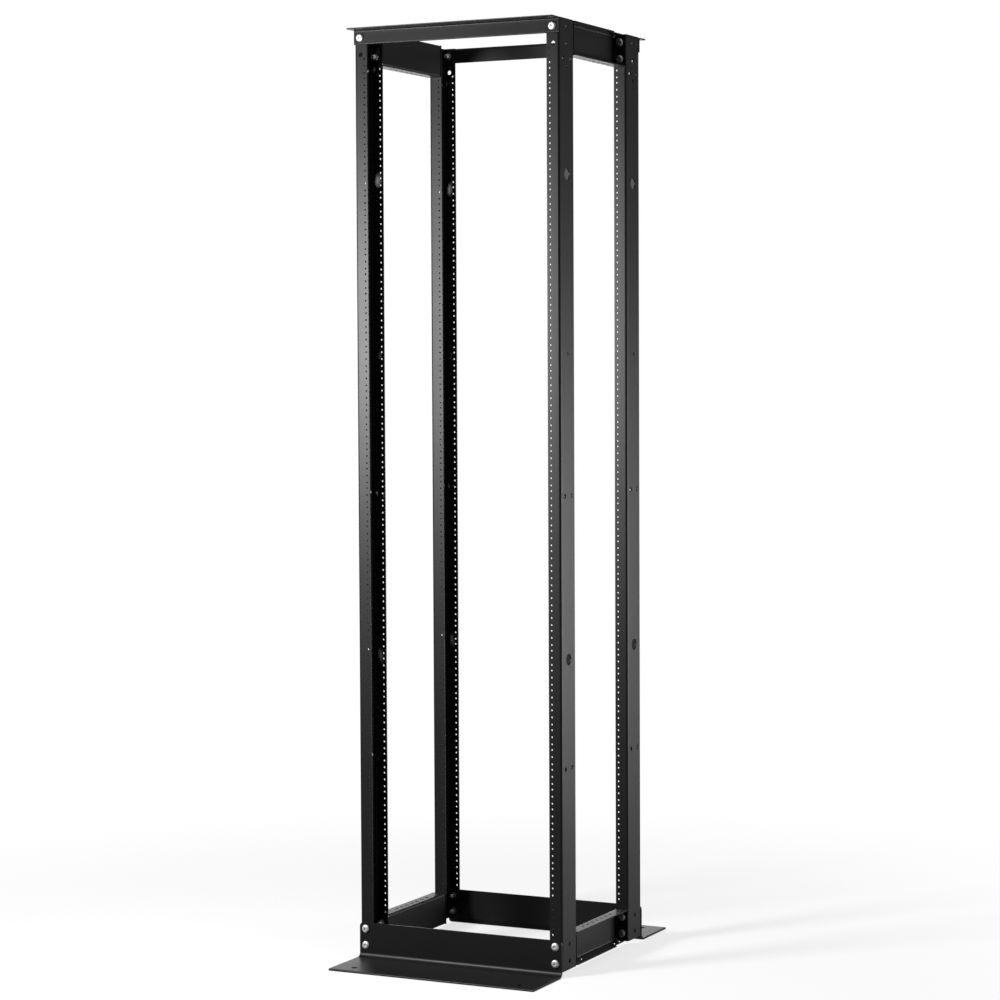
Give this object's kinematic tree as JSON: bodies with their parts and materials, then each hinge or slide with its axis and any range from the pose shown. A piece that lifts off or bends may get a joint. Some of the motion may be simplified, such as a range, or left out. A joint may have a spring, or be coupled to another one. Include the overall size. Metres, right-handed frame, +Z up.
{
  "type": "four post open frame rack",
  "caption": "Tall open frame equipment rack: C channel posts with rack unit holes, top and base angles, and side rails.",
  "frame": {"origin": "middle of the footprint, on the floor", "axes": "+X to the rack's right, +Y from the front to the rear, +Z up"},
  "size_m": [0.5144, 0.7494, 2.1336],
  "materials": {
    "black_steel": "satin black powder coat"
  },
  "bodies": {
    "root": {"post_front_left": "black_steel", "post_front_right": "black_steel", "post_rear_left": "black_steel", "post_rear_right": "black_steel", "top_angle_front": "black_steel", "top_angle_rear": "black_steel", "base_angle_front": "black_steel", "base_angle_rear": "black_steel", "side_rail_top_left": "black_steel", "side_rail_top_right": "black_steel", "side_rail_bottom_left": "black_steel", "side_rail_bottom_right": "black_steel"}
  },
  "joints": []
}
